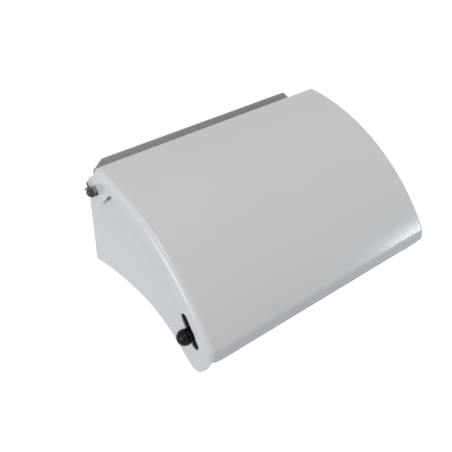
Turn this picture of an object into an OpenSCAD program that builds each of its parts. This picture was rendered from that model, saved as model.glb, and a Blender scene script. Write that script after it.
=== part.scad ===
// Hooded wall dispenser for three toilet rolls side by side.
// X runs along the hood, +Y points into the wall, Z is up; the wall face is Y = 0.
// Side outlines are drawn as [distance out from the wall, height].

/* [Hood] */
// Overall width of the hood
hood_w = 320; // [300:1:340]
// Outer radius of the rolled hood sheet
hood_r = 234; // [229:1:240]
// Angle that the rolled sheet turns through
hood_sweep = 57; // [56:0.5:58]
// Distance from the wall to the rear edge of the hood
hood_off = 30.6; // [30:0.2:34]
// Height of the hood's rear edge above the screw centre
hood_top = 76.2; // [75:0.2:78]
// Hood sheet thickness
hood_sheet = 1.2; // [1:0.1:1.5]
// Outer radius of the rolled long corners
hood_corner_r = 7; // [4:0.5:9]
// Depth of the turned side flanges
flange_h = 14.5; // [12:0.5:17]

/* [Front lip] */
// Angle that the lip turns down from the end of the roll
lip_turn = 25; // [22:1:28]
// Outer radius of the bend above the lip
lip_bend_r = 5; // [3:0.5:7]
// Straight height of the lip
lip_h = 9.5; // [8.5:0.1:11.5]
// Distance from the hood's side to the lip's side
lip_inset = 4; // [3:0.5:6]
// Radius of the lip's lower corners
lip_corner_r = 7; // [3:0.5:9]
// Depth of the return turned in under the lip
return_d = 12; // [10:0.5:13]
// Outer radius of the bend under the lip
return_bend_r = 2.4; // [1.8:0.1:3]
// Distance from the cheek's inner face to the end of the return
return_inset = 4.5; // [3:0.5:5]

/* [Wall bracket] */
// Bracket sheet thickness
bracket_sheet = 1.5; // [1.2:0.1:2]
// Distance from the hood's outer side to the cheek's outer face
cheek_inset = 6; // [5:0.5:8]
// Outer radius of the folds between plate and cheeks
fold_r = 3; // [2.5:0.5:4]
// Height of the back plate's top edge
plate_top = 65; // [60:1:68]
// Height of the back plate's bottom edge
plate_bottom = -64; // [-65:0.5:-60]
// Distance from the cheek's outer face to the side of the plate's upper part
plate_side = 8.3; // [5:0.1:14]
// Width of the 45 degree corners of the plate
plate_chamfer = 11; // [5:0.5:12]
// Gap between the hood sheet and the cheek's curved edge
cheek_edge_gap = 2.5; // [2:0.1:4]
// Height of the cheek at the wall
cheek_rear_top = 37; // [30:0.5:40]
// Radius of the cheek around the hinge
cheek_hinge_r = 14; // [12:0.5:15]
// Angle round from the top at which the cheek starts to follow the hood
cheek_arc_from = 9; // [8:0.5:12]

/* [Cheek underside] */
// Distance from the wall to the highest point of the underside
arch_x = 103; // [98:1:108]
// Height of that point
arch_z = -50; // [-52:0.5:-46]
// Radius of the underside towards the wall
arch_rear_r = 330; // [300:5:400]
// Radius of the underside towards the front
arch_front_r = 125; // [118:1:132]
// Slope of the straight edge between the arch and the front lobe
arch_slope = 31; // [30:0.5:32]
// Radius of the front lobe
lobe_r = 14.6; // [13.6:0.2:16]
// Distance from the lip's lower end back to the lobe's centre
lobe_back = 34.6; // [33.6:0.1:36.4]
// Radius of the edge that rises from the lobe to the lip
lobe_front_r = 76; // [72:1:80]
// Height above the lip's lower end at which that edge meets the curved edge
lobe_rise = 7; // [6:0.1:8.8]

/* [Wall screws] */
// Distance between the screw holes along the wall
screw_pitch_x = 220; // [180:5:240]
// Distance between the screw holes up the wall
screw_pitch_z = 70; // [50:5:80]
// Screw hole diameter
screw_d = 5.5; // [4.5:0.1:6.5]

/* [Hinge] */
// Distance from the wall to the hinge axis
hinge_x = 29.6; // [29:0.1:30]
// Height of the hinge axis
hinge_z = 49.2; // [48.6:0.1:50]
// Hinge bolt diameter
hinge_bolt_d = 6; // [5.5:0.5:6.5]
// Radial clearance of the ear on the bolt
hinge_fit = 0.08; // [0.05:0.01:0.1]
// Radius of the hood's ear around the bolt
ear_r = 15.5; // [14:0.5:16.5]
// Distance from the wall at which the ear's front edge leaves the flange
ear_front_x = 60; // [56:1:66]
// Gap between the ear and the pieces beside it
hinge_side_gap = 0.3; // [0.2:0.05:0.5]
// Spacer diameter
hinge_spacer_d = 14; // [12:0.5:16]
// Diameter of the collar outside the ear
hinge_collar_d = 11.2; // [10.5:0.1:12]
// Length of the collar outside the ear
hinge_collar_l = 3.5; // [3.2:0.1:4]
// Split pin diameter
pin_d = 2; // [1.6:0.1:2.2]
// Radial clearance of the split pin in its cross hole
pin_fit = 0.1; // [0.05:0.05:0.2]
// Diameter of the split pin's head
pin_head_d = 2.8; // [2.6:0.1:3.2]
// Thickness of the split pin's head
pin_head_t = 0.8; // [0.6:0.1:1.4]
// Distance from the hinge axis to the root of the pin's upper leg
pin_reach = 12.4; // [10.5:0.1:13.5]
// Length of the upper leg from its root
leg_l = 5.4; // [4:0.1:6]
// Rise of the upper leg
leg_rise = 77; // [72:1:90]
// Distance by which the lower leg stands out sideways
leg_out = 4.9; // [3:0.1:5.5]
// Drop of the lower leg
leg_drop = 2.5; // [1.5:0.1:4]
// Width of the hinge nut across its flats
hinge_nut_flats = 10; // [9:0.5:11]
// Height of the nut's flats
hinge_nut_h = 2.8; // [2.4:0.1:4]
// Height of the nut's dome
hinge_dome_h = 3.6; // [2.4:0.1:4]
// Diameter of the bolt's head
hinge_head_d = 11; // [10:0.5:12]
// Height of the bolt's head
hinge_head_h = 3; // [2.5:0.1:3.5]

/* [Latch] */
// Distance from the lip's lower end back to the middle of the slot
slot_back = 41.1; // [40.5:0.1:41.9]
// Height of the middle of the slot above the lip's lower end
slot_rise = 7.4; // [6.9:0.1:8.1]
// Slope of the slot
slot_slope = 54; // [52:0.5:56]
// Distance down the slot from its middle to the latch at rest
latch_rest = 2.2; // [1.5:0.1:3]
// Slot width
slot_w = 12; // [11:0.5:12.5]
// Slot length over its round ends
slot_l = 39.5; // [37:0.5:41]
// Gap between the guide and the slot's long sides
guide_fit = 0.3; // [0.2:0.05:0.4]
// Length of the guide along the slot
guide_l = 12.4; // [12:0.1:13]
// Slider plate length
slider_l = 48; // [46:0.5:50]
// Slider plate width
slider_w = 20; // [18:0.5:21]
// Slider plate thickness
slider_t = 3; // [2.5:0.1:3.5]
// Gap between the slider and the cheek
slider_gap = 0.3; // [0.3:0.05:0.5]
// Distance from the lip's lower end back to the tip of the latch nose
nose_back = 10.5; // [10.1:0.1:12.5]
// Height of the underside of the latch nose above the lip's lower end
nose_rise = 8.6; // [8.4:0.1:10]
// Height of the latch nose
nose_h = 8; // [6:0.5:9]
// Width of the latch nose along the hood
nose_w = 10.2; // [9.6:0.1:12]
// Knob diameter
knob_d = 17; // [15.5:0.5:18]
// Distance by which the guide stands out of the slot
guide_proud = 0.6; // [0.4:0.1:0.8]
// Length of the stud past its nut
stud_proud = 0.6; // [0.4:0.1:1]
// Depth of the flat ground on the knob's inner side
knob_flat = 2.8; // [2:0.1:3.2]
// Knob stud diameter
stud_d = 5; // [4:0.5:6]
// Depth of the stud inside the knob
stud_grip = 9; // [6:0.5:10]
// Diameter of the washer under the knob
latch_washer_d = 14; // [13:0.5:15]
// Thickness of the washer under the knob
latch_washer_t = 0.8; // [0.6:0.1:1]
// Width of the latch nut across its flats
latch_nut_flats = 8; // [7.5:0.5:10]
// Latch nut thickness
latch_nut_t = 4; // [3:0.5:4.5]

/* [Roll spindle] */
// Distance from the wall to the spindle axis
spindle_x = 96; // [90:1:100]
// Height of the spindle axis
spindle_z = -5; // [-9:1:-3]
// Spindle tube diameter
tube_d = 25; // [22:0.5:28]
// Spindle tube wall thickness
tube_wall = 1.2; // [1:0.1:2]
// Gap between the tube and its plugs
plug_fit = 0.05; // [0.02:0.01:0.1]
// Length of a plug inside the tube
plug_l = 15; // [10:1:20]
// Thickness of a plug's collar
plug_collar = 1.5; // [1:0.1:2.5]
// Trunnion diameter
trunnion_d = 10; // [8:0.5:11]
// Trunnion length
trunnion_l = 6.5; // [5:0.1:6.6]
// Radial clearance of the trunnion in its cradle
trunnion_fit = 0.1; // [0.05:0.01:0.1]
// Depth of a cradle from its pad to its open side
cradle_d = 6.5; // [5.5:0.1:8]
// Wall thickness of a cradle
cradle_wall = 2.4; // [2:0.1:3]
// Length of a cradle's arms above the spindle axis
cradle_arm = 12; // [8:0.5:13]
// Lean of a cradle's mouth towards the front
cradle_lean = 30; // [20:1:40]
// Diameter of a cradle's weld pad
cradle_pad_d = 30; // [28:0.5:34]
// Thickness of a cradle's weld pad
cradle_pad_t = 1.5; // [1.2:0.1:2]
// Gap between the spindle's collars and the cradles
spindle_end_gap = 0.3; // [0.2:0.05:0.5]

/* [Edge bumpers] */
// Angle of the bumpers round from the top of the hood
bumper_at = 42; // [38:1:46]
// Angle that a bumper spans
bumper_span = 4; // [3:0.5:6]
// Thickness of a bumper's sides
bumper_side = 1.5; // [1:0.1:2]
// Depth to which a bumper grips the cheek
bumper_grip = 7; // [5:0.5:9]
// Gap between a bumper and the closed hood
bumper_gap = 0.3; // [0.2:0.05:0.5]

/* [Hidden] */
$fn = 96;

// Slack that lets cutting shapes run past the faces that they cut
over = 1;
// Reach of half planes and wedges beyond the part
far = 400;
// Lap of one shape over the next where the two are joined
lap = 0.01;
// Angle by which a bend runs into the sheet beside it
seam = 0.5;
// Clearance of the knob's thread on its stud
thread_fit = 0.05;
// Depth of the knob's threaded hole past the end of the stud
stud_end_gap = 0.3;
// Clearance of a rubber bumper on the sheet that it grips
grip_fit = 0.05;
// Angle between the lip and its return
return_turn = 90;
// Depth to which the dome of a hinge nut runs into its flats
dome_sink = 0.5;
// Thickness of the split pin's legs as a share of the pin's
leg_share = 0.75;
// Distance between the roots of the two legs, in pin diameters
leg_step = 0.85;
// Distance from the upper leg's root to the end of the pin, in pin diameters
leg_end = 0.6;

// Hood
arc_c = [hood_off, hood_top - hood_r];
hood_in_r = hood_r - hood_sheet;
ear_out_x = hood_w / 2;
ear_in_x = ear_out_x - hood_sheet;
lip_slope = hood_sweep + lip_turn;
lip_bend_c = arc_c + (hood_r - lip_bend_r) * [sin(hood_sweep), cos(hood_sweep)];
lip_out = [sin(lip_slope), cos(lip_slope)];
lip_down = [cos(lip_slope), -sin(lip_slope)];
lip_start = lip_bend_c + lip_bend_r * lip_out;
lip_end = lip_start + lip_h * lip_down;
return_c = lip_end - return_bend_r * lip_out;
return_start = return_c + return_bend_r * lip_down;
return_end = return_start - (return_d - return_bend_r) * lip_out;
lip_half = ear_out_x - lip_inset;

// Bracket
cheek_out_x = ear_out_x - cheek_inset;
cheek_in_x = cheek_out_x - bracket_sheet;
cheek_r = hood_in_r - cheek_edge_gap;
plate_top_half = cheek_out_x - plate_side - plate_chamfer;
hinge = [hinge_x, hinge_z];
lobe_x = lip_end.x - lobe_back;
lobe_top = lip_end.y + lobe_rise;
arch_end = [arch_x + arch_front_r * sin(arch_slope), arch_z - arch_front_r * (1 - cos(arch_slope))];
slope_down = [cos(arch_slope), -sin(arch_slope)];
lobe_run = (lobe_x - lobe_r * sin(arch_slope) - arch_end.x) / cos(arch_slope);
lobe_tangent = arch_end + lobe_run * slope_down;
lobe_c = lobe_tangent + lobe_r * [sin(arch_slope), cos(arch_slope)];
lobe_meet = [arc_c.x + sqrt(pow(cheek_r, 2) - pow(lobe_top - arc_c.y, 2)), lobe_top];
lobe_front_c = circles_meet(lobe_c, lobe_front_r - lobe_r, lobe_meet, lobe_front_r);
lobe_front_tangent = lobe_c + lobe_r * unit(lobe_c - lobe_front_c);

// Hinge stack, as distances from the middle of the hood
spacer_out_x = ear_in_x - hinge_side_gap;
collar_start_x = ear_out_x + hinge_side_gap;
nut_in_x = collar_start_x + hinge_collar_l;
hinge_bolt_end_x = nut_in_x + hinge_nut_h;
pin_x = collar_start_x + hinge_collar_l / 2;
upper_root = [-pin_x, -hinge.x + pin_reach, hinge.y];
lower_root = upper_root - [0, leg_step * pin_d, 0];

// Latch
slot_c = lip_end + [-slot_back, slot_rise];
nose_x = lip_end.x - nose_back;
nose_z = lip_end.y + nose_rise;
slot_dir = [cos(slot_slope), -sin(slot_slope)];
latch_c = slot_c + latch_rest * slot_dir;
slider_out_x = cheek_in_x - slider_gap;
slider_in_x = slider_out_x - slider_t;
latch_washer_in_x = cheek_out_x + guide_proud;
knob_in_x = latch_washer_in_x + latch_washer_t;
knob_c_x = knob_in_x + knob_d / 2 - knob_flat;
stud_end_x = knob_in_x + stud_grip;
stud_in_x = slider_in_x - latch_nut_t - stud_proud;

// Spindle
spindle = [spindle_x, spindle_z];
cradle_pad_in_x = cheek_in_x - cradle_pad_t;
cradle_in_x = cradle_pad_in_x - cradle_d;
collar_out_x = cradle_in_x - spindle_end_gap;
collar_in_x = collar_out_x - plug_collar;
mouth_dir = [sin(cradle_lean), cos(cradle_lean)];

function unit(v) = v / norm(v);

// Where two circles cross, on the side that lies left of the way from a to b
function circles_meet(a, ra, b, rb) =
    let (
        d = norm(b - a),
        along = (ra * ra - rb * rb + d * d) / (2 * d),
        aside = sqrt(ra * ra - along * along),
        u = (b - a) / d
    )
    a + along * u + aside * [-u.y, u.x];

// Where a line from p touches the circle round c; side 1 or -1 picks which of the two points
function touch(p, c, r, side) =
    let (
        d = c - p,
        run = sqrt(d * d - r * r),
        a = atan2(d.y, d.x) + side * asin(r / norm(d))
    )
    p + run * [cos(a), sin(a)];

// Stands a side outline [out from wall, height] upright, from x_from to x_to along the hood
module side_sheet(x_from, x_to) {
    translate([x_to, 0, 0])
        rotate([90, 0, -90])
            linear_extrude(x_to - x_from)
                children();
}

// Turns a [radius, along] section about an axis along the hood, between two angles round from the top
module side_roll(centre, from_top, to_top) {
    rotate([90, 0, -90])
        translate([centre.x, centre.y, 0])
            rotate([0, 0, 90 - to_top])
                rotate_extrude(angle = to_top - from_top)
                    children();
}

// A cylinder along the hood, between two distances on the left side
module left_rod(at, d, x_a, x_b) {
    translate([-x_b, -at.x, at.y])
        rotate([0, 90, 0])
            cylinder(h = x_b - x_a, d = d);
}

module on_right() {
    mirror([1, 0, 0])
        children();
}

module disc_at(c, r) {
    translate(c)
        circle(r);
}

// Ring part between two directions given as angles from the top
module ring_part(c, r_out, r_in, from_top, to_top) {
    reach = 3 * r_out;
    intersection() {
        difference() {
            disc_at(c, r_out);
            disc_at(c, r_in);
        }
        polygon([
            c,
            c + reach * [sin(from_top), cos(from_top)],
            c + reach * [sin(to_top), cos(to_top)]
        ]);
    }
}

// Stadium with its middle at c, its long way along slot_dir
module slot_shape(c, w, l) {
    translate(c)
        rotate(-slot_slope) {
            square([l - w, w], center = true);
            for (end = [-1, 1]) {
                translate([end * (l - w) / 2, 0])
                    circle(d = w);
            }
        }
}

// ---- Wall bracket ----

module cheek_outline() {
    rear_touch = touch([0, cheek_rear_top], hinge, cheek_hinge_r, 1);
    top_touch = hinge + cheek_hinge_r * [0, 1];
    top_end = arc_c + cheek_r * [sin(cheek_arc_from), cos(cheek_arc_from)];
    arch_rear_c = [arch_x, arch_z - arch_rear_r];
    arch_front_c = [arch_x, arch_z - arch_front_r];
    disc_at(hinge, cheek_hinge_r);
    intersection() {
        disc_at(arc_c, cheek_r);
        union() {
            // everything above the lip
            polygon([
                [0, lobe_top], [0, cheek_rear_top], rear_touch, hinge, top_touch,
                top_end, [far, top_end.y], [far, lobe_top]
            ]);
            // the arch
            difference() {
                translate([0, lobe_top - far])
                    square([arch_end.x, far + lap]);
                intersection() {
                    disc_at(arch_rear_c, arch_rear_r);
                    translate([-over, arch_z - far])
                        square([arch_x + over + lap, far]);
                }
                intersection() {
                    disc_at(arch_front_c, arch_front_r);
                    translate([arch_x, arch_z - far])
                        square([far, far]);
                }
                translate([-over, arch_z - far - 2 * lobe_r])
                    square([far, far]);
            }
            // the lobe
            disc_at(lobe_c, lobe_r);
            intersection() {
                disc_at(lobe_front_c, lobe_front_r);
                polygon([
                    [arch_end.x - lap, lobe_top + lap], arch_end, lobe_tangent,
                    lobe_c, lobe_front_tangent, [far, lobe_front_tangent.y], [far, lobe_top + lap]
                ]);
            }
        }
    }
}

module bracket_outline() {
    cheek_outline();
    translate([0, plate_bottom])
        square([bracket_sheet, plate_top - plate_bottom]);
}

// The folded sheet seen from above, as an endless channel
module bracket_channel() {
    in_r = fold_r - bracket_sheet;
    depth = hood_off + hood_r;
    difference() {
        union() {
            translate([-cheek_out_x, -depth])
                square([2 * cheek_out_x, depth - fold_r]);
            translate([-cheek_out_x + fold_r, -fold_r - over])
                square([2 * (cheek_out_x - fold_r), fold_r + over]);
            for (side = [-1, 1]) {
                translate([side * (cheek_out_x - fold_r), -fold_r])
                    circle(fold_r);
            }
        }
        translate([-cheek_in_x, -depth - over])
            square([2 * cheek_in_x, depth + over - fold_r]);
        translate([-cheek_in_x + in_r, -fold_r - over])
            square([2 * (cheek_in_x - in_r), fold_r + over - bracket_sheet]);
        for (side = [-1, 1]) {
            translate([side * (cheek_in_x - in_r), -fold_r])
                circle(in_r);
        }
    }
}

// What is cut off the plate's upper corners, seen from the front
module plate_corner() {
    relief_x = plate_top_half + plate_chamfer;
    polygon([
        [plate_top_half, plate_top + over], [plate_top_half, plate_top],
        [relief_x, plate_top - plate_chamfer], [relief_x, cheek_rear_top],
        [cheek_out_x + over, cheek_rear_top], [cheek_out_x + over, plate_top + over]
    ]);
}

module wall_bracket() {
    color("whitesmoke")
        difference() {
            intersection() {
                translate([0, 0, -hood_r])
                    linear_extrude(2 * hood_r)
                        bracket_channel();
                side_sheet(-cheek_out_x - over, cheek_out_x + over)
                    bracket_outline();
            }
            for (side = [0, 1]) {
                mirror([side, 0, 0]) {
                    translate([0, over, 0])
                        rotate([90, 0, 0])
                            linear_extrude(bracket_sheet + over + lap)
                                plate_corner();
                    left_rod(hinge, hinge_bolt_d, cheek_in_x - over, cheek_out_x + over);
                }
            }
            translate([-cheek_in_x + fold_r, -fold_r - over, plate_bottom - far])
                cube([2 * (cheek_in_x - fold_r), fold_r + 2 * over, far]);
            side_sheet(-cheek_out_x - over, -cheek_in_x + over)
                slot_shape(slot_c, slot_w, slot_l);
            for (sx = [-1, 1], sz = [-1, 1]) {
                translate([sx * screw_pitch_x / 2, over, sz * screw_pitch_z / 2])
                    rotate([90, 0, 0])
                        cylinder(h = bracket_sheet + 2 * over, d = screw_d);
            }
        }
}

// ---- Hood ----

// Section of the rolled sheet: [distance from the roll's axis, along the hood]
module hood_section() {
    in_r = hood_corner_r - hood_sheet;
    difference() {
        union() {
            translate([hood_r - flange_h, -ear_out_x])
                square([flange_h - hood_corner_r, hood_w]);
            translate([hood_r - hood_corner_r - over, -ear_out_x + hood_corner_r])
                square([hood_corner_r + over, hood_w - 2 * hood_corner_r]);
            for (side = [-1, 1]) {
                translate([hood_r - hood_corner_r, side * (ear_out_x - hood_corner_r)])
                    circle(hood_corner_r);
            }
        }
        translate([hood_r - flange_h - over, -ear_in_x])
            square([flange_h + over - hood_corner_r, 2 * ear_in_x]);
        translate([hood_r - hood_corner_r - over, -ear_in_x + in_r])
            square([in_r + over, 2 * (ear_in_x - in_r)]);
        for (side = [-1, 1]) {
            translate([hood_r - hood_corner_r, side * (ear_in_x - in_r)])
                circle(in_r);
        }
    }
}

module lip_outline() {
    n = hood_sheet * lip_out;
    ring_part(lip_bend_c, lip_bend_r, lip_bend_r - hood_sheet, hood_sweep - seam, lip_slope + seam);
    polygon([lip_start, lip_end, lip_end - n, lip_start - n]);
}

module return_outline() {
    n = hood_sheet * lip_down;
    in_r = return_bend_r - hood_sheet;
    ring_part(return_c, return_bend_r, in_r, lip_slope - seam, lip_slope + return_turn + seam);
    polygon([return_start, return_end, return_end - n, return_start - n]);
}

// The lip seen from the front, with its lower corners rounded
module lip_front() {
    low = lip_end.y - return_bend_r;
    translate([-lip_half, low + lip_corner_r])
        square([2 * lip_half, lip_start.y + 4 * lip_bend_r - low]);
    translate([-lip_half + lip_corner_r, low])
        square([2 * (lip_half - lip_corner_r), lip_corner_r + over]);
    for (side = [-1, 1]) {
        translate([side * (lip_half - lip_corner_r), low + lip_corner_r])
            circle(lip_corner_r);
    }
}

module ear_outline() {
    start = [hood_off, hood_top - hood_corner_r];
    flange_dir = asin((ear_front_x - arc_c.x) / (hood_r - flange_h));
    front = arc_c + (hood_r - flange_h + over / 2) * [sin(flange_dir), cos(flange_dir)];
    disc_at(hinge, ear_r);
    polygon([
        start, touch(start, hinge, ear_r, -1), hinge, touch(front, hinge, ear_r, 1), front,
        arc_c + (hood_r - flange_h + over / 2) * [sin(flange_dir / 2), cos(flange_dir / 2)] + [0, over]
    ]);
}

module hood() {
    return_half = cheek_in_x - return_inset;
    color("white")
        difference() {
            union() {
                side_roll(arc_c, 0, hood_sweep)
                    hood_section();
                intersection() {
                    side_sheet(-lip_half, lip_half)
                        lip_outline();
                    rotate([90, 0, 0])
                        linear_extrude(far)
                            lip_front();
                }
                side_sheet(-return_half, return_half)
                    return_outline();
                for (side = [0, 1]) {
                    mirror([side, 0, 0])
                        side_sheet(-ear_out_x, -ear_in_x)
                            ear_outline();
                }
            }
            left_rod(hinge, hinge_bolt_d + 2 * hinge_fit, -ear_out_x - over, ear_out_x + over);
        }
}

// ---- Hinges, drawn on the left ----

module cross_hole() {
    translate([-pin_x, -hinge.x, hinge.y])
        rotate([90, 0, 0])
            cylinder(h = 2 * hinge_collar_d, d = pin_d + 2 * pin_fit, center = true);
}

module hinge_bolt() {
    color("dimgray")
        difference() {
            union() {
                left_rod(hinge, hinge_bolt_d, cheek_in_x - over, hinge_bolt_end_x);
                left_rod(hinge, hinge_head_d, cheek_in_x - hinge_head_h, cheek_in_x);
            }
            cross_hole();
        }
}

module hinge_spacer() {
    color("ivory")
        difference() {
            left_rod(hinge, hinge_spacer_d, cheek_out_x, spacer_out_x);
            left_rod(hinge, hinge_bolt_d, cheek_out_x - over, spacer_out_x + over);
        }
}

module hinge_collar() {
    color("silver")
        difference() {
            left_rod(hinge, hinge_collar_d, collar_start_x, nut_in_x);
            left_rod(hinge, hinge_bolt_d, collar_start_x - over, nut_in_x + over);
            cross_hole();
        }
}

// Runs from a head in front through collar and bolt; behind, one leg is bent up and one out and down
module split_pin() {
    head_y = -hinge.x - hinge_collar_d / 2 - pin_head_t;
    color("dimgray") {
        translate([-pin_x, head_y, hinge.y])
            rotate([-90, 0, 0])
                cylinder(h = pin_head_t, d = pin_head_d);
        translate([-pin_x, head_y + pin_head_t / 2, hinge.y])
            rotate([-90, 0, 0])
                cylinder(h = upper_root.y + leg_end * pin_d - head_y - pin_head_t / 2, d = pin_d);
        translate(upper_root)
            rotate([leg_rise - 90, 0, 0])
                cylinder(h = leg_l, d = leg_share * pin_d);
        translate(lower_root)
            rotate([0, -90 - atan(leg_drop / leg_out), 0])
                cylinder(h = norm([leg_out, leg_drop]), d = leg_share * pin_d);
    }
}

module hinge_nut() {
    corner_r = hinge_nut_flats / 2;
    dome_r = (corner_r * corner_r + hinge_dome_h * hinge_dome_h) / (2 * hinge_dome_h);
    color("black")
        translate([-nut_in_x, -hinge.x, hinge.y])
            rotate([0, -90, 0])
                difference() {
                    union() {
                        rotate([0, 0, 15])
                            cylinder(h = hinge_nut_h, d = hinge_nut_flats / cos(30), $fn = 6);
                        intersection() {
                            translate([0, 0, hinge_nut_h + hinge_dome_h - dome_r])
                                sphere(dome_r);
                            translate([0, 0, hinge_nut_h - dome_sink])
                                cylinder(h = hinge_dome_h + over, r = corner_r);
                        }
                    }
                    translate([0, 0, -over])
                        cylinder(h = hinge_nut_h + over, d = hinge_bolt_d);
                }
}

// ---- Edge bumper, drawn on the left ----

module edge_bumper() {
    out_r = hood_in_r - bumper_gap;
    in_r = cheek_r - bumper_grip;
    in_x = cheek_in_x - bumper_side;
    out_x = cheek_out_x + bumper_side;
    // its outer corner is cut back to clear the bend inside the hood's long corner
    bend_r = hood_corner_r - hood_sheet - bumper_gap;
    past_bend = max(out_x - ear_out_x + hood_corner_r, 0);
    edge_r = out_r - bend_r + sqrt(pow(bend_r, 2) - pow(past_bend, 2));
    color("dimgray")
        side_roll(arc_c, bumper_at - bumper_span / 2, bumper_at + bumper_span / 2)
            difference() {
                polygon([
                    [in_r, in_x], [out_r, in_x], [out_r, out_x - past_bend],
                    [edge_r, out_x], [in_r, out_x]
                ]);
                translate([in_r - over, cheek_in_x - grip_fit])
                    square([bumper_grip + over + grip_fit, bracket_sheet + 2 * grip_fit]);
            }
}

// ---- Roll spindle ----

module cradle_outline(r, arm) {
    disc_at(spindle, r);
    side = [mouth_dir.y, -mouth_dir.x];
    polygon([
        spindle + r * side, spindle + r * side + arm * mouth_dir,
        spindle - r * side + arm * mouth_dir, spindle - r * side
    ]);
}

module cradle() {
    groove_r = trunnion_d / 2 + trunnion_fit;
    color("lightgray") {
        side_sheet(-cheek_in_x, -cradle_pad_in_x)
            disc_at(spindle, cradle_pad_d / 2);
        side_sheet(-cradle_pad_in_x, -cradle_in_x)
            difference() {
                cradle_outline(groove_r + cradle_wall, cradle_arm);
                cradle_outline(groove_r, cradle_arm + over);
            }
    }
}

module spindle_tube() {
    color("silver")
        difference() {
            left_rod(spindle, tube_d, -collar_in_x, collar_in_x);
            left_rod(spindle, tube_d - 2 * tube_wall, -collar_in_x - over, collar_in_x + over);
        }
}

module spindle_plug() {
    color("dimgray") {
        left_rod(spindle, tube_d - 2 * tube_wall - 2 * plug_fit, collar_in_x - plug_l, collar_in_x);
        left_rod(spindle, tube_d, collar_in_x, collar_out_x);
        left_rod(spindle, trunnion_d, collar_out_x, collar_out_x + trunnion_l);
    }
}

// ---- Latch, in the left cheek ----

module latch_slider() {
    nose_up = nose_z + nose_h;
    color("black")
        difference() {
            union() {
                side_sheet(-slider_out_x, -slider_in_x) {
                    slot_shape(latch_c, slider_w, slider_l);
                    polygon([
                        latch_c, [latch_c.x, nose_up + nose_h / 2],
                        [nose_x - nose_h, nose_up], [nose_x, nose_z + nose_h / 2], [nose_x, nose_z],
                        latch_c + slider_l / 4 * slot_dir
                    ]);
                }
                side_sheet(-latch_washer_in_x, -slider_out_x)
                    slot_shape(latch_c, slot_w - 2 * guide_fit, guide_l);
                side_sheet(-slider_in_x, -slider_out_x + nose_w)
                    polygon([
                        [nose_x - nose_h, nose_z], [nose_x - nose_h, nose_up],
                        [nose_x, nose_z + nose_h / 2], [nose_x, nose_z]
                    ]);
            }
            left_rod(latch_c, stud_d, slider_in_x - over, latch_washer_in_x + over);
        }
}

module latch_stud() {
    color("silver")
        left_rod(latch_c, stud_d, stud_in_x, stud_end_x);
}

module latch_washer() {
    color("black")
        difference() {
            left_rod(latch_c, latch_washer_d, latch_washer_in_x, knob_in_x);
            left_rod(latch_c, stud_d, latch_washer_in_x - over, knob_in_x + over);
        }
}

module latch_nut() {
    color("silver")
        difference() {
            translate([-slider_in_x, -latch_c.x, latch_c.y])
                rotate([0, 90, 0])
                    cylinder(h = latch_nut_t, d = latch_nut_flats / cos(30), $fn = 6);
            left_rod(latch_c, stud_d, stud_in_x - over, slider_in_x + over);
        }
}

module latch_knob() {
    color("black")
        difference() {
            translate([-knob_c_x, -latch_c.x, latch_c.y])
                rotate([0, 90, 0])
                    sphere(d = knob_d);
            left_rod(latch_c, 2 * knob_d, knob_in_x - knob_d, knob_in_x);
            left_rod(latch_c, stud_d + 2 * thread_fit, knob_in_x - over, stud_end_x + stud_end_gap);
        }
}

wall_bracket();
hood();
hinge_bolt();  // hinge_bolt_left
on_right() hinge_bolt();  // hinge_bolt_right
hinge_spacer();  // hinge_spacer_left
on_right() hinge_spacer();  // hinge_spacer_right
hinge_collar();  // hinge_collar_left
on_right() hinge_collar();  // hinge_collar_right
split_pin();  // split_pin_left
on_right() split_pin();  // split_pin_right
hinge_nut();  // hinge_nut_left
on_right() hinge_nut();  // hinge_nut_right
edge_bumper();  // edge_bumper_left
on_right() edge_bumper();  // edge_bumper_right
cradle();  // cradle_left
on_right() cradle();  // cradle_right
spindle_tube();
spindle_plug();  // spindle_plug_left
on_right() spindle_plug();  // spindle_plug_right
latch_slider();
latch_stud();
latch_washer();
latch_nut();
latch_knob();
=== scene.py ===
import math
import bpy
import bmesh
from mathutils import Matrix, Vector


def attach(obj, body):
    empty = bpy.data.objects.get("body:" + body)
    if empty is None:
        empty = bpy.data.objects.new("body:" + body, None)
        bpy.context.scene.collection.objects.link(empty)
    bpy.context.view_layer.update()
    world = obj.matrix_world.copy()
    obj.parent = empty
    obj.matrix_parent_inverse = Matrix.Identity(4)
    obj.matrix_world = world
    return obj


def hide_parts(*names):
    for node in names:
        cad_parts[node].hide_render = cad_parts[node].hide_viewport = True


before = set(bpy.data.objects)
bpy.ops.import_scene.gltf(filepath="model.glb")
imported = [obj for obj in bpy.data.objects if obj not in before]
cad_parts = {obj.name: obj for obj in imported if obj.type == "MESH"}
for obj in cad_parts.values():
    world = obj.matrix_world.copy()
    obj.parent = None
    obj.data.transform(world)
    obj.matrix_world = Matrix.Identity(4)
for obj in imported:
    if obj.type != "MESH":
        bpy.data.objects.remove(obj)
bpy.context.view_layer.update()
scene = bpy.context.scene
scene.view_settings.view_transform = "Standard"

# ---- Wall bracket ----
# One sheet of 1.5 mm steel, cut out flat and folded: the back plate with a cheek at each end.
# It is powder coated in smooth white, and four screws hold it to the wall.
mm = 0.001
# each plane that outlines are drawn on: its points, from two measures in it and its level in mm,
# and the axis that arcs in it turn about
planes = {
    "side": (lambda out, up, at: Vector((at, -out, up)) * mm, (1, 0, 0)),
    "front": (lambda across, up, at: Vector((across, at, up)) * mm, (0, 1, 0)),
    "top": (lambda across, back, at: Vector((across, back, at)) * mm, (0, 0, -1)),
}


def only(piece):
    """Makes a piece the one that is selected and active."""
    bpy.ops.object.select_all(action="DESELECT")
    piece.select_set(True)
    bpy.context.view_layer.objects.active = piece


arc_sag = 0.012
widest_chord = math.radians(9)


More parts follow.
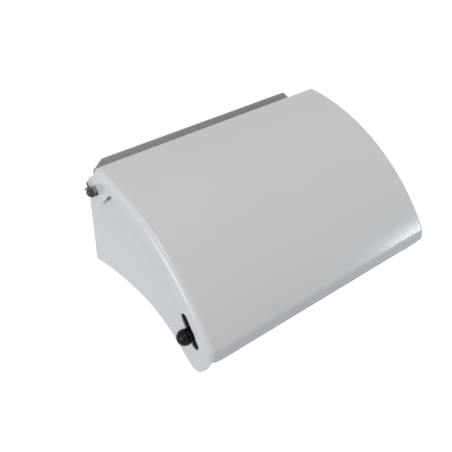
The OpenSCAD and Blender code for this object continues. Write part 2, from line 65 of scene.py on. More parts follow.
def draw(plane, level, here, steps):
    """Draws on from the selected point, in mm: straight to (a, b), or round a centre to
    (a, b, centre, sense), where a fifth value sets how many chords the arc has."""
    place, axis = planes[plane]
    for step in steps:
        end = Vector(step[:2])
        if len(step) == 2:
            move = place(*end, level) - place(*here, level)
            bpy.ops.mesh.extrude_region_move(TRANSFORM_OT_translate={"value": move})
        else:
            centre, sense = Vector(step[2]), step[3]
            from_c, to_c = here - centre, end - centre
            angle = sense * (math.atan2(to_c.y, to_c.x) - math.atan2(from_c.y, from_c.x))
            angle = angle % math.tau
            if len(step) > 4:
                count = step[4]
            else:
                chord = min(2 * math.acos(1 - arc_sag / from_c.length), widest_chord)
                count = max(3, math.ceil(angle / chord))
            bpy.ops.mesh.spin(
                steps=count, angle=sense * angle, center=place(*centre, level), axis=axis)
        here = end


def outline(name, plane, level, start, steps):
    """Starts a piece as one point and draws its outline; it is left open, in edit mode."""
    bpy.ops.object.select_all(action="DESELECT")
    bpy.ops.mesh.primitive_plane_add(size=mm, location=planes[plane][0](*start, level))
    piece = bpy.context.active_object
    piece.name = name
    piece.data.name = name
    bpy.ops.object.transform_apply(location=True, rotation=True, scale=True)
    bpy.ops.object.mode_set(mode="EDIT")
    bpy.ops.mesh.select_all(action="SELECT")
    bpy.ops.mesh.merge(type="CENTER")
    draw(plane, level, Vector(start), steps)
    return piece


same_point = 0.000004


def fill_outline():
    """Closes the drawn outline and fills it with one face."""
    bpy.ops.mesh.select_all(action="SELECT")
    bpy.ops.mesh.remove_doubles(threshold=same_point)
    bpy.ops.mesh.select_all(action="SELECT")
    bpy.ops.mesh.edge_face_add()


def close_skin():
    """Merges what lies together and turns every face outwards."""
    bpy.ops.mesh.select_all(action="SELECT")
    bpy.ops.mesh.remove_doubles(threshold=same_point)
    bpy.ops.mesh.normals_make_consistent(inside=False)
    bpy.ops.object.mode_set(mode="OBJECT")


def blank(name, plane, level, depth, start, steps):
    """A flat blank of even thickness with the outline drawn, from level to level + depth."""
    piece = outline(name, plane, level, start, steps)
    fill_outline()
    along = planes[plane][0](0, 0, depth)
    bpy.ops.mesh.extrude_region_move(TRANSFORM_OT_translate={"value": along})
    close_skin()
    return piece


def rod(name, plane, level, depth, centre, d, sides=64):
    """A straight round pin or drill, used whole or as a cutter."""
    place, axis = planes[plane]
    bpy.ops.object.select_all(action="DESELECT")
    bpy.ops.mesh.primitive_cylinder_add(
        vertices=sides, radius=d / 2 * mm, depth=depth * mm,
        location=place(*centre, level + depth / 2),
        rotation=Vector((0, 0, 1)).rotation_difference(Vector(axis)).to_euler())
    piece = bpy.context.active_object
    piece.name = name
    piece.data.name = name
    bpy.ops.object.transform_apply(location=True, rotation=True, scale=True)
    return piece


def combine(piece, tool, how):
    """Joins, cuts or trims a piece with a tool, which it uses up."""
    only(piece)
    step = piece.modifiers.new(how.lower(), "BOOLEAN")
    step.operation = how
    step.solver = "EXACT"
    step.object = tool
    bpy.ops.object.modifier_apply(modifier=step.name)
    bpy.data.objects.remove(tool, do_unlink=True)


smooth_below = math.radians(32)


def ease_edges(piece, width, over_angle=40, segments=2):
    """Rounds the sharp edges over by a width in mm and shades the rest smooth."""
    only(piece)
    step = piece.modifiers.new("eased", "BEVEL")
    step.width = width * mm
    step.segments = segments
    step.limit_method = "ANGLE"
    step.angle_limit = math.radians(over_angle)
    step.miter_outer = "MITER_ARC"
    bpy.ops.object.modifier_apply(modifier=step.name)
    bpy.ops.object.shade_smooth_by_angle(angle=smooth_below)


def flatten_shading(piece):
    """Lets the wide faces set the normals, so that flats shade flat between their eased edges."""
    only(piece)
    step = piece.modifiers.new("flat_faces", "WEIGHTED_NORMAL")
    step.keep_sharp = True
    bpy.ops.object.modifier_apply(modifier=step.name)


def seat(piece, body, slot, finish, *nodes):
    """Coats a finished piece, gives it its body and hides the nodes that it stands for; slot is not
    used.
    """
    piece.data.materials.clear()
    piece.data.materials.append(finish)
    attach(piece, body)
    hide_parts(*nodes)


# axes across the part, as (out from the wall, up): what the hood turns and is rolled about
hinge_axis = (29.6, 49.2)
hinge_d = 6
roll_axis = (30.6, -157.8)
# side outline of a cheek and of the plate, in the same two directions
bracket_side = [
    (1.5, 65), (1.5, 38.68), (19.14, 58.51), (29.6, 63.2, hinge_axis, -1), (66.63, 69.66),
    (225.3, -34.79, roll_axis, -1), (204.87, -77.11, (149.99, -24.54), -1),
    (186.81, -79.53, (194.33, -67.01), -1), (167.38, -67.85),
    (103, -50, (103, -175), 1), (-2, -67.15, (103, -380), 1), (-2, 65)]
# the folded sheet from above: plate, bends and cheeks, with the cheeks' faces and the bends'
# middles as distances from the middle of the part
sheet_t, fold_r = 1.5, 3
cheek_out, cheek_in, fold_x = 154, 152.5, 151
front = -250
bracket_sheet = blank("bracket_sheet", "top", -90, 180, (-cheek_out, front), [
    (-cheek_out, -fold_r), (-fold_x, 0, (-fold_x, -fold_r), -1),
    (fold_x, 0), (cheek_out, -fold_r, (fold_x, -fold_r), -1), (cheek_out, front),
    (cheek_in, front), (cheek_in, -fold_r), (fold_x, -sheet_t, (fold_x, -fold_r), 1),
    (-fold_x, -sheet_t), (-cheek_in, -fold_r, (-fold_x, -fold_r), 1), (-cheek_in, front),
    (-cheek_out, front)])
combine(bracket_sheet, blank("cut", "side", -160, 320, (-2, 65), bracket_side), "INTERSECT")
# the cut that frees each upper corner of the plate from the fold
corner_cut = [
    (134.7, 65), (145.7, 54), (145.7, 37), (156, 37), (156, 67), (134.7, 67)]
for side in (-1, 1):
    flipped = [(side * a, b) for a, b in corner_cut]
    combine(bracket_sheet, blank("cut", "front", -1.51, 3, flipped[-1], flipped), "DIFFERENCE")
    hinge_bore = rod("cut", "side", side * 153 - 3, 6, hinge_axis, hinge_d)
    combine(bracket_sheet, hinge_bore, "DIFFERENCE")
# the cheeks run on below the plate's lower edge
plate_half, plate_foot = 149.5, -64
below_plate = blank("cut", "front", -4, 6, (-plate_half, plate_foot), [
    (plate_half, plate_foot), (plate_half, -72), (-plate_half, -72), (-plate_half, plate_foot)])
combine(bracket_sheet, below_plate, "DIFFERENCE")
slot_middle = Vector((187.83, -34.39))
slot_length, slot_width = 39.5, 12
slot_fall = math.radians(54)
slot_way = Vector((math.cos(slot_fall), -math.sin(slot_fall)))
slot_side = Vector((slot_way.y, -slot_way.x))


def stadium(length, width, middle=slot_middle):
    """Outline of a slot shape about a point of the slot's line, as a start and its steps."""
    run, r = (length - width) / 2, width / 2
    ends = [middle - run * slot_way, middle + run * slot_way]
    start = ends[0] + r * slot_side
    steps = [
        (*(ends[0] - r * slot_side), ends[0], -1), tuple(ends[1] - r * slot_side),
        (*(ends[1] + r * slot_side), ends[1], -1), tuple(start)]
    return start, steps


slot_cut = blank("cut", "side", -156, 6, *stadium(slot_length, slot_width))
combine(bracket_sheet, slot_cut, "DIFFERENCE")
screw_hole_d = 5.5
for across in (-110, 110):
    for up in (-35, 35):
        screw_hole = rod("cut", "front", -4, 8, (across, up), screw_hole_d, 48)
        combine(bracket_sheet, screw_hole, "DIFFERENCE")
ease_edges(bracket_sheet, 0.3)
flatten_shading(bracket_sheet)


def new_group(name, ins, outs):
    """An empty shader group with float inputs (name, default) and named float outputs."""
    group = bpy.data.node_groups.new(name, "ShaderNodeTree")
    for label, value in ins:
        socket = group.interface.new_socket(
            label, in_out="INPUT", socket_type="NodeSocketFloat")
        socket.default_value = value
    for label in outs:
        group.interface.new_socket(label, in_out="OUTPUT", socket_type="NodeSocketFloat")
    return group, group.nodes.new("NodeGroupInput"), group.nodes.new("NodeGroupOutput")


def node(tree, kind, **settings):
    """A shader node of a kind, with some of its settings given."""
    made = tree.nodes.new("ShaderNode" + kind)
    for key, value in settings.items():
        setattr(made, key, value)
    return made


def maths(tree, how, a, b, clamp=False):
    """One sum on two values, each a number or a socket."""
    made = node(tree, "Math", operation=how, use_clamp=clamp)
    for socket, value in zip(made.inputs, (a, b)):
        if isinstance(value, bpy.types.NodeSocket):
            tree.links.new(value, socket)
        else:
            socket.default_value = value
    return made.outputs[0]


def noise_at(tree, scale, detail):
    """Noise on the piece's own coordinates, with the scale in turns a metre."""
    made = node(tree, "TexNoise")
    made.inputs["Detail"].default_value = detail
    tree.links.new(node(tree, "TexCoord").outputs["Object"], made.inputs["Vector"])
    if isinstance(scale, bpy.types.NodeSocket):
        tree.links.new(scale, made.inputs["Scale"])
    else:
        made.inputs["Scale"].default_value = scale
    return made.outputs["Fac"]


# fine unevenness of a surface: its height, and a slow drift of its tone round 0
skin, skin_in, skin_out = new_group(
    "surface_grain", [("Fine", 900.0), ("Slow", 14.0), ("Swing", 0.03)],
    ["Height", "Drift"])
fine_noise = noise_at(skin, skin_in.outputs["Fine"], 2)
slow_noise = maths(skin, "SUBTRACT", noise_at(skin, skin_in.outputs["Slow"], 3), 0.5)
skin.links.new(fine_noise, skin_out.inputs["Height"])
drift = maths(skin, "MULTIPLY", slow_noise, skin_in.outputs["Swing"])
skin.links.new(drift, skin_out.inputs["Drift"])

# where an outside edge is rubbed: 0 on the flats, up to 1 along worn edges
rub, rub_in, rub_out = new_group(
    "edge_rub", [("Reach", 0.0006), ("Wear", 1.0)], ["Mask"])
turned_in = node(rub, "Bevel", samples=4)
rub.links.new(rub_in.outputs["Reach"], turned_in.inputs["Radius"])
flat_way = node(rub, "NewGeometry")
agree = node(rub, "VectorMath", operation="DOT_PRODUCT")
rub.links.new(turned_in.outputs["Normal"], agree.inputs[0])
rub.links.new(flat_way.outputs["Normal"], agree.inputs[1])
lean = maths(rub, "SUBTRACT", 1.0, agree.outputs["Value"])
lean_gain, patches_per_m = 6.0, 160.0
patchy = noise_at(rub, patches_per_m, 3)
worn_here = maths(rub, "MULTIPLY", maths(rub, "MULTIPLY", lean, lean_gain), patchy)
mask = maths(rub, "MULTIPLY", worn_here, rub_in.outputs["Wear"], clamp=True)
rub.links.new(mask, rub_out.inputs["Mask"])


def place_group(tree, group, **values):
    """A group set into a material, with some of its inputs given."""
    made = tree.nodes.new("ShaderNodeGroup")
    made.node_tree = group
    for key, value in values.items():
        made.inputs[key].default_value = value
    return made


def mixed(tree, mask, low, high):
    """Mixes two colours by a mask; each is three numbers or a socket."""
    made = node(tree, "Mix", data_type="RGBA")
    tree.links.new(mask, made.inputs["Factor"])
    for socket, value in ((made.inputs["A"], low), (made.inputs["B"], high)):
        if isinstance(value, bpy.types.NodeSocket):
            tree.links.new(value, socket)
        else:
            socket.default_value = (*value, 1)
    return made.outputs["Result"]


def finish_of(name, colour, worn, rough, bump_mm, fine, wear, swing, slow=14.0, inputs=None):
    """A surface whose tone drifts, whose edges are rubbed and whose skin is slightly uneven;
    fine and slow are turns a metre, and inputs sets more of the shader's inputs."""
    made = bpy.data.materials.new(name)
    made.use_nodes = True
    tree = made.node_tree
    shader = tree.nodes["Principled BSDF"]
    grain = place_group(tree, skin, Fine=fine, Slow=slow, Swing=swing)
    rubbed = place_group(tree, rub, Wear=wear)
    darker = [max(c - swing * 0.5, 0) for c in colour]
    lighter = [min(c + swing * 0.5, 1) for c in colour]
    level = maths(tree, "ADD", maths(tree, "DIVIDE", grain.outputs["Drift"], swing), 0.5)
    paint = mixed(tree, level, darker, lighter)
    paint = mixed(tree, rubbed.outputs["Mask"], paint, worn)
    tree.links.new(paint, shader.inputs["Base Color"])
    roughness = maths(tree, "ADD", grain.outputs["Drift"], rough)
    edge_roughness = 0.08
    rougher_edge = maths(tree, "MULTIPLY", rubbed.outputs["Mask"], edge_roughness)
    roughness = maths(tree, "ADD", roughness, rougher_edge, clamp=True)
    tree.links.new(roughness, shader.inputs["Roughness"])
    relief = node(tree, "Bump")
    relief.inputs["Distance"].default_value = bump_mm * mm
    tree.links.new(grain.outputs["Height"], relief.inputs["Height"])
    tree.links.new(relief.outputs["Normal"], shader.inputs["Normal"])
    for label, value in (inputs or {}).items():
        shader.inputs[label].default_value = value
    return made


white_coat = finish_of(
    "white_powder_coat", (0.60, 0.603, 0.608), (0.68, 0.69, 0.70),
    rough=0.2, bump_mm=0.006, fine=700.0, wear=0.6, swing=0.02, slow=9.0,
    inputs={"Specular IOR Level": 0.45})
seat(bracket_sheet, "bracket", "white_coat", white_coat, "wall_bracket")

# ---- Spindle cradles ----
# A folded steel trough on a round pad, spot-welded inside each cheek before coating. Its mouth
# leans forwards, so that the spindle drops in from the front and lifts out again.
spindle_axis = Vector((96, -5))
mouth_lean = math.radians(30)
mouth_way = Vector((math.sin(mouth_lean), math.cos(mouth_lean)))
mouth_side = Vector((mouth_way.y, -mouth_way.x))


def at_mouth(aside, along):
    """A point of a cradle, measured across its mouth and out of it from the spindle's axis."""
    return tuple(spindle_axis + aside * mouth_side + along * mouth_way)


def right_copy(piece, name):
    """The same piece for the right-hand end, with its own mesh."""
    only(piece)
    bpy.ops.object.duplicate()
    copy = bpy.context.active_object
    copy.name = name
    copy.data.name = name
    bpy.ops.object.mode_set(mode="EDIT")
    bpy.ops.mesh.select_all(action="SELECT")
    bpy.ops.transform.resize(value=(-1, 1, 1), center_override=(0, 0, 0))
    bpy.ops.mesh.flip_normals()
    bpy.ops.object.mode_set(mode="OBJECT")
    return copy


def pair(piece, body, slot, finish, node_stem, name_stem):
    """Seats a left-hand piece and its right-hand copy on their nodes."""
    other = right_copy(piece, name_stem + "_right")
    seat(piece, body, slot, finish, node_stem + "_left")
    seat(other, body, slot, finish, node_stem + "_right")


groove_r, trough_r, trough_top = 5.1, 7.5, 12
trough = blank("trough_left", "side", -151, 6.5, at_mouth(trough_r, trough_top), [
    at_mouth(trough_r, 0), (*at_mouth(-trough_r, 0), spindle_axis, -1),
    at_mouth(-trough_r, trough_top), at_mouth(-groove_r, trough_top), at_mouth(-groove_r, 0),
    (*at_mouth(groove_r, 0), spindle_axis, 1), at_mouth(groove_r, trough_top),
    at_mouth(trough_r, trough_top)])
combine(trough, rod("pad", "side", -152.5, 1.55, spindle_axis, 30), "UNION")
weld_ring_r = 11.5
for a in (math.radians(90), math.radians(210), math.radians(330)):
    weld_at = spindle_axis + weld_ring_r * Vector((math.cos(a), math.sin(a)))
    weld_dent = rod("cut", "side", -151.2, 1.2, weld_at, 4.5, 32)
    combine(trough, weld_dent, "DIFFERENCE")
ease_edges(trough, 0.25)
pair(trough, "bracket", "white_coat", white_coat, "cradle", "trough")

# ---- Edge bumpers ----
# A short rubber channel pushed over the curved edge of each cheek. The closed hood lies just
# above it, so that steel never knocks on steel.
bumper_from, bumper_span = math.radians(40), math.radians(4)
roll_centre = planes["side"][0](*roll_axis, 0)


def on_roll(across, radius):
    """A point straight above the axis that the hood is rolled about."""
    return (across, roll_axis[1] + radius)


bumper = outline("rubber_bumper_left", "front", -roll_axis[0], on_roll(-151, 232.5), [
    on_roll(-153, 232.5), on_roll(-155.5, 231.9), on_roll(-155.5, 223.3),
    on_roll(-154.05, 223.3), on_roll(-154.05, 230.35), on_roll(-152.45, 230.35),
    on_roll(-152.45, 223.3), on_roll(-151, 223.3), on_roll(-151, 232.5)])
fill_outline()
bpy.ops.transform.rotate(value=-bumper_from, orient_axis="X", center_override=roll_centre)
bpy.ops.mesh.spin(steps=6, angle=-bumper_span, center=roll_centre, axis=(1, 0, 0))
close_skin()
ease_edges(bumper, 0.35)
rubber = finish_of(
    "soft_rubber", (0.028, 0.028, 0.030), (0.07, 0.07, 0.072),
    rough=0.72, bump_mm=0.03, fine=1600.0, wear=0.5, swing=0.01)
pair(bumper, "bracket", "rubber", rubber, "edge_bumper", "rubber_bumper")

# ---- Hinge bolts ----
# A zinc-plated bolt through each cheek, with its low round head and hex socket inside the cheek.
# The hood's ear turns on its shank. A cross hole takes the split pin, and the cap nut ends it.


def turned(name, axis_at, profile, sides=64):
    """A piece turned about an axis along the hood, from a profile of [out to the left, radius]."""
    def point(step):
        """A step of the profile, moved to the left of the part's middle and to the axis."""
        rest = step[2:]
        if rest:
            rest = ((-rest[0][0], axis_at[1] + rest[0][1]), *rest[1:])
        return (-step[0], axis_at[1] + step[1], *rest)
    steps = [point(step) for step in profile]
    piece = outline(name, "front", -axis_at[0], steps[0][:2], steps[1:])
    bpy.ops.mesh.select_all(action="SELECT")
    bpy.ops.mesh.spin(
        steps=sides, angle=math.tau, center=planes["side"][0](*axis_at, 0), axis=(1, 0, 0))
    close_skin()
    return piece


bolt = turned("hinge_screw_left", hinge_axis, [
    (149.5, 0), (149.5, 4.3), (150.7, 5.5, (150.7, 4.3), 1), (152.5, 5.5), (152.5, 3),
    (165.9, 3), (166.6, 2.4), (166.6, 0)])
key_flats = 4
socket = rod("cut", "side", -151.6, 3, hinge_axis, key_flats / math.cos(math.radians(30)), 6)
combine(bolt, socket, "DIFFERENCE")
pin_line = (-162.05, hinge_axis[1])


def pin_hole():
    """The drill for the hole through which the split pin crosses bolt and collar."""
    return rod("cut", "front", -36, 13, pin_line, 2.2, 24)


combine(bolt, pin_hole(), "DIFFERENCE")
ease_edges(bolt, 0.12, segments=1)
zinc = finish_of(
    "bright_zinc", (0.56, 0.57, 0.58), (0.72, 0.72, 0.72),
    rough=0.30, bump_mm=0.006, fine=2400.0, wear=0.8, swing=0.08, slow=120.0,
    inputs={"Metallic": 1.0})
pair(bolt, "bracket", "zinc_steel", zinc, "hinge_bolt", "hinge_screw")

# ---- Hinge spacers ----
# A turned nylon ring on each bolt, between the cheek and the hood's ear. It keeps the two coats
# from rubbing when the hood swings.


def ring(name, axis_at, x_in, x_out, d, bore, edge):
    """A turned ring, washer or tube with eased edges, between two distances from the middle."""
    piece = turned(name, axis_at, [
        (x_in, bore / 2), (x_in, d / 2), (x_out, d / 2), (x_out, bore / 2), (x_in, bore / 2)])
    ease_edges(piece, edge)
    return piece


nylon = finish_of(
    "natural_nylon", (0.66, 0.64, 0.57), (0.74, 0.72, 0.66),
    rough=0.45, bump_mm=0.015, fine=1200.0, wear=0.4, swing=0.03,
    inputs={"Subsurface Weight": 0.15, "Subsurface Radius": (0.0012, 0.001, 0.0008)})
spacer = ring(
    "nylon_spacer_left", hinge_axis, cheek_out, 158.5, d=14, bore=hinge_d, edge=0.35)
pair(spacer, "bracket", "nylon", nylon, "hinge_spacer", "nylon_spacer")

# ---- Hood ----
# One sheet of 1.2 mm steel, rolled to a quarter-round roof with its two long corners turned down
# into flanges. A lip is bent down at the front and returned under, and an ear at each end turns
# on the hinge bolt. It is powder coated like the bracket.
hood_t = 1.2
hood_r = 234
flange_foot_r = 219.5
flange_depth = 7.1
roll_turn = math.radians(56.5)
lip_turn = math.radians(25.5)
lip_fall = math.radians(82)
lip_bend = planes["side"][0](215.723, -35.27, 0)
return_bend = planes["side"][0](226.377, -42.104, 0)
return_half, return_depth = 148.1, 9.6
# the section at the roof's top, from flange to flange, swept forwards about the roll's axis
ear_x, corner_foot = 160, 69.2
hood_sheet = outline("hood_sheet", "front", -roll_axis[0], (-ear_x, 61.7), [
    (-ear_x, corner_foot), (-153, 76.2, (-153, corner_foot), -1, 14), (-148, 76.2),
    (148, 76.2), (153, 76.2), (ear_x, corner_foot, (153, corner_foot), -1, 14), (ear_x, 61.7)])
bpy.ops.mesh.select_all(action="SELECT")
bpy.ops.mesh.spin(steps=74, angle=-roll_turn, center=roll_centre, axis=(1, 0, 0))
lip_way = Vector((0, -math.cos(lip_fall), -math.sin(lip_fall)))
inwards = Vector((0, math.sin(lip_fall), -math.cos(lip_fall)))


def keep_edges(test):
    """Leaves selected only the edges whose two ends pass a test."""
    mesh = bmesh.from_edit_mesh(hood_sheet.data)
    for edge in mesh.edges:
        edge.select = edge.select and all(test(v.co) for v in edge.verts)
    mesh.select_flush_mode()
    bmesh.update_edit_mesh(hood_sheet.data)


def above_flange(co):
    """Whether a point lies on the roof or its rounded corners, and not on a flange."""
    return (co - roll_centre).yz.length > (hood_r - flange_depth) * mm


bpy.ops.mesh.select_mode(type="EDGE")
keep_edges(above_flange)
bpy.ops.mesh.spin(steps=6, angle=-lip_turn, center=lip_bend, axis=(1, 0, 0))
# the lip's flat, first to where its rounded corners start
for run_on in (3.275, 4.975):
    bpy.ops.mesh.extrude_region_move(TRANSFORM_OT_translate={"value": run_on * mm * lip_way})
keep_edges(lambda co: abs(co.x) <= return_half * mm)
bpy.ops.mesh.spin(steps=8, angle=-math.radians(90), center=return_bend, axis=(1, 0, 0))
bpy.ops.mesh.extrude_region_move(TRANSFORM_OT_translate={"value": return_depth * mm * inwards})
bpy.ops.mesh.select_mode(type="VERT")


rim_gap = 0.00005  # metres
near = 0.05  # mm


def fill_side(x, start, steps, on_rim):
    """Draws on from a corner of the open rim at a side, and fills what the line and rim enclose."""
    bpy.ops.mesh.select_all(action="DESELECT")
    mesh = bmesh.from_edit_mesh(hood_sheet.data)
    corner = planes["side"][0](*start, x)
    min(mesh.verts, key=lambda v: (v.co - corner).length).select = True
    mesh.select_flush_mode()
    draw("side", x, Vector(start), steps)
    bpy.ops.mesh.select_all(action="SELECT")
    bpy.ops.mesh.remove_doubles(threshold=rim_gap)
    bpy.ops.mesh.select_mode(type="EDGE")
    bpy.ops.mesh.select_all(action="DESELECT")
    mesh = bmesh.from_edit_mesh(hood_sheet.data)
    for edge in mesh.edges:
        edge.select = len(edge.link_faces) < 2 and all(
            abs(v.co.x / mm - x) < near and on_rim(-v.co.y / mm, v.co.z / mm) for v in edge.verts)
    mesh.select_flush_mode()
    bmesh.update_edit_mesh(hood_sheet.data)
    bpy.ops.mesh.edge_face_add()
    bpy.ops.mesh.select_mode(type="VERT")


ear_r, ear_front = 15.5, 60.1


def on_ear(out, up):
    """Whether a point lies on the outline of an ear: its round end, or the flange it grows from."""
    from_hinge = math.hypot(out - hinge_axis[0], up - hinge_axis[1])
    from_roll = math.hypot(out - roll_axis[0], up - roll_axis[1])
    round_end = abs(from_hinge - ear_r) < near
    flange_edge = abs(from_roll - flange_foot_r) < near and out < ear_front
    corner = abs(out - roll_axis[0]) < near and abs(up - corner_foot) < near
    return round_end or flange_edge or corner


flange_end_from, flange_end_to = math.radians(56.4), math.radians(57.85)
flange_top_r = 227


def on_flange_end(out, up):
    """Whether a point lies round the piece by which a flange runs on past the end of the roll."""
    from_roll = math.hypot(out - roll_axis[0], up - roll_axis[1])
    round_from_top = math.atan2(out - roll_axis[0], up - roll_axis[1])
    across_flange = flange_foot_r - 2 * near < from_roll < flange_top_r + 2 * near
    return across_flange and flange_end_from < round_from_top < flange_end_to


for x in (-ear_x, ear_x):
    fill_side(x, (roll_axis[0], corner_foot), [
        (20.4, 61.67), (41.1, 38.81, hinge_axis, 1), (60.02, 59.72)], on_ear)
    fill_side(x, (213.64, -36.65), [(216.34, -40.83), (221.13, -37.82)], on_flange_end)
close_skin()
only(hood_sheet)
roof = max(hood_sheet.data.polygons, key=lambda face: face.center.z)
if roof.normal.z < 0:
    bpy.ops.object.mode_set(mode="EDIT")
    bpy.ops.mesh.select_all(action="SELECT")
    bpy.ops.mesh.flip_normals()
    bpy.ops.object.mode_set(mode="OBJECT")
wall = hood_sheet.modifiers.new("wall", "SOLIDIFY")
wall.thickness = hood_t * mm
wall.offset = -1
wall.use_even_offset = True
bpy.ops.object.modifier_apply(modifier=wall.name)
ease_edges(hood_sheet, 0.3, over_angle=42)
# the lip's lower corners are rounded and the ears bored after the edges were eased
corner_x, corner_z = 151.5, -37.1
corner_wide, corner_high = 7.4, 4.9
clear_x, clear_z = 162, -50
ear_bore = 6.16
quarter = [math.radians(90 * k / 12) for k in range(13)]
for side in (-1, 1):
    corner_path = [
        (side * (corner_x + corner_wide * math.cos(a)), corner_z - corner_high * math.sin(a))
        for a in quarter]
    corner_path += [
        (side * corner_x, clear_z), (side * clear_x, clear_z), (side * clear_x, corner_z)]
    corner_round = blank("cut", "front", -236, 15.05, (side * clear_x, corner_z), corner_path)
    combine(hood_sheet, corner_round, "DIFFERENCE")
    bore = rod("cut", "side", side * 159.4 - 3, 6, hinge_axis, ear_bore)
    combine(hood_sheet, bore, "DIFFERENCE")
bpy.ops.object.shade_smooth_by_angle(angle=smooth_below)
flatten_shading(hood_sheet)
seat(hood_sheet, "hood", "white_coat", white_coat, "hood")

# ---- Hinge collars ----
# A moulded grey ring on each bolt outside the ear. It is drilled across for the split pin, and
# the cap nut closes over it.
grey_plastic = finish_of(
    "moulded_grey_plastic", (0.205, 0.208, 0.212), (0.27, 0.27, 0.27),
    rough=0.48, bump_mm=0.02, fine=1500.0, wear=0.4, swing=0.02)
grey_collar = ring(
    "grey_collar_left", hinge_axis, 160.3, 163.8, d=11.2, bore=hinge_d, edge=0.3)
combine(grey_collar, pin_hole(), "DIFFERENCE")
pair(grey_collar, "bracket", "grey_plastic", grey_plastic, "hinge_collar", "grey_collar")

# ---- Split pins ----
# Dark steel wire through collar and bolt, from a flat head in front. Behind, its two legs are
# parted: one is bent up and the other out and down.
upper_root = planes["front"][0](*pin_line, -17.2)
wire_step = 1.7
lower_root = upper_root - Vector((0, wire_step, 0)) * mm


def wire_leg(name, root, way, length, bend_r=0.9, wire_r=0.75, lead_in=0.8):
    """A round wire that comes along the pin from in front and bends round at its root."""
    along = Vector((0, 1, 0))
    way = way.normalized()
    bend = along.angle(way)
    setback = bend_r * mm * math.tan(bend / 2)
    start = root - (setback + lead_in * mm) * along
    bpy.ops.object.select_all(action="DESELECT")
    bpy.ops.mesh.primitive_circle_add(
        vertices=20, radius=wire_r * mm, fill_type="NGON", location=start,
        rotation=(-math.radians(90), 0, 0))
    leg = bpy.context.active_object
    leg.name = name
    leg.data.name = name
    bpy.ops.object.transform_apply(location=True, rotation=True, scale=True)
    bpy.ops.object.mode_set(mode="EDIT")
    bpy.ops.mesh.select_all(action="SELECT")
    bpy.ops.mesh.extrude_region_move(TRANSFORM_OT_translate={"value": lead_in * mm * along})
    bend_axis = along.cross(way).normalized()
    bend_centre = root - setback * along + bend_r * mm * bend_axis.cross(along)
    bpy.ops.mesh.spin(steps=7, angle=-bend, center=bend_centre, axis=bend_axis)
    run_on = (length * mm - setback) * way
    bpy.ops.mesh.extrude_region_move(TRANSFORM_OT_translate={"value": run_on})
    close_skin()
    return leg


pin = rod("split_wire_left", "front", -35.4, 18.2, pin_line, 2, 24)
ease_edges(pin, 0.5, segments=3)
combine(pin, rod("head", "front", -36, 0.8, pin_line, 2.8, 32), "UNION")
upper_rise = math.radians(77)
upper_way = Vector((0, math.cos(upper_rise), math.sin(upper_rise)))
lower_way = Vector((-4.9, 0, -2.5))
combine(pin, wire_leg("upper_leg", upper_root, upper_way, 5.4), "UNION")
combine(pin, wire_leg("lower_leg", lower_root, lower_way, 5.5), "UNION")
ease_edges(pin, 0.15)
wire = finish_of(
    "dark_spring_wire", (0.055, 0.053, 0.050), (0.30, 0.29, 0.28),
    rough=0.36, bump_mm=0.008, fine=3000.0, wear=0.9, swing=0.02, slow=300.0,
    inputs={"Metallic": 0.85})
pair(pin, "bracket", "spring_wire", wire, "split_pin", "split_wire")

# ---- Hinge nuts ----
# A blackened hexagon cap nut on each bolt, 10 mm across its flats. The flats are chamfered, and
# a dome closes over the bolt's end.


def hexagon(name, axis_at, x_in, depth, flats, start_angle=0):
    """A six-sided blank along the hood, which trims a turned piece; its turn is in degrees."""
    piece = rod(name, "side", x_in, depth, axis_at, flats / math.cos(math.radians(30)), 6)
    bpy.ops.object.mode_set(mode="EDIT")
    bpy.ops.mesh.select_all(action="SELECT")
    bpy.ops.transform.rotate(
        value=math.radians(start_angle), orient_axis="X",
        center_override=planes["side"][0](*axis_at, 0))
    bpy.ops.object.mode_set(mode="OBJECT")
    return piece


cap_nut = turned("cap_nut_left", hinge_axis, [
    (163.8, 0), (163.8, 5.2), (164.15, 5.8), (166.1, 5.8), (166.6, 5.0),
    (170.2, 0, (164.928, 0), 1, 14)])
nut_flats, nut_turn = 10, 15
combine(cap_nut, hexagon("cut", hinge_axis, -171, 8, nut_flats, nut_turn), "INTERSECT")
ease_edges(cap_nut, 0.15)
black_oxide = finish_of(
    "black_oxide", (0.045, 0.044, 0.042), (0.22, 0.215, 0.21),
    rough=0.30, bump_mm=0.012, fine=2200.0, wear=1.0, swing=0.02, slow=200.0,
    inputs={"Metallic": 0.6})
pair(cap_nut, "bracket", "black_oxide", black_oxide, "hinge_nut", "cap_nut")

# ---- Spindle ----
# A zinc-plated steel tube with a moulded plug pressed into each end. The plugs' trunnions lie in
# the cradles, and three rolls turn on the tube.
tube = ring("spindle_pipe", spindle_axis, -142.7, 142.7, d=25, bore=22.6, edge=0.25)
seat(tube, "spindle", "zinc_steel", zinc, "spindle_tube")
plug = turned("end_plug_left", spindle_axis, [
    (127.7, 0), (127.7, 10.2), (128.7, 11.25), (142.7, 11.25), (142.7, 11.9),
    (143.3, 12.5, (143.3, 11.9), 1), (144.2, 12.5), (144.2, 6.2), (144.7, 5.0),
    (150.0, 5.0), (150.7, 4.3), (150.7, 0)])
ease_edges(plug, 0.2)
pair(plug, "spindle", "grey_plastic", grey_plastic, "spindle_plug", "end_plug")

